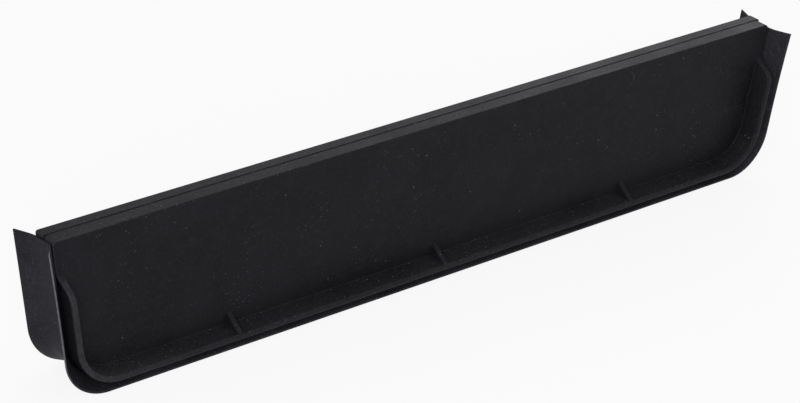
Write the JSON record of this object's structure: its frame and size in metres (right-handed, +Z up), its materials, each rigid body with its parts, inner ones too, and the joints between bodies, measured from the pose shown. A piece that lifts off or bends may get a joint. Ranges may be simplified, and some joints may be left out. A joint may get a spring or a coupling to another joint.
{
  "type": "kick plate",
  "caption": "Long low two-shell panel with a recessed web, raised rim and gussets on each face, and a flared flexible skirt round its ends and underside.",
  "frame": {"origin": "in the joint plane between the two shells, halfway along the panel, at the level that the skirt's lip edges rest on", "axes": "+Z up, X along the panel, +Y to the panel's rear; the pictured face looks to -Y"},
  "size_m": [0.5224, 0.0412, 0.0908],
  "materials": {
    "shell_plastic": "fine matte moulded grain, black",
    "skirt_rubber": "smooth matt black flexible strip",
    "screw_steel": "plain zinc-plated"
  },
  "bodies": {
    "root": {"front_shell": "shell_plastic", "rear_shell": "shell_plastic", "flexible_skirt": "skirt_rubber", "shell_screws": "screw_steel"}
  },
  "joints": []
}
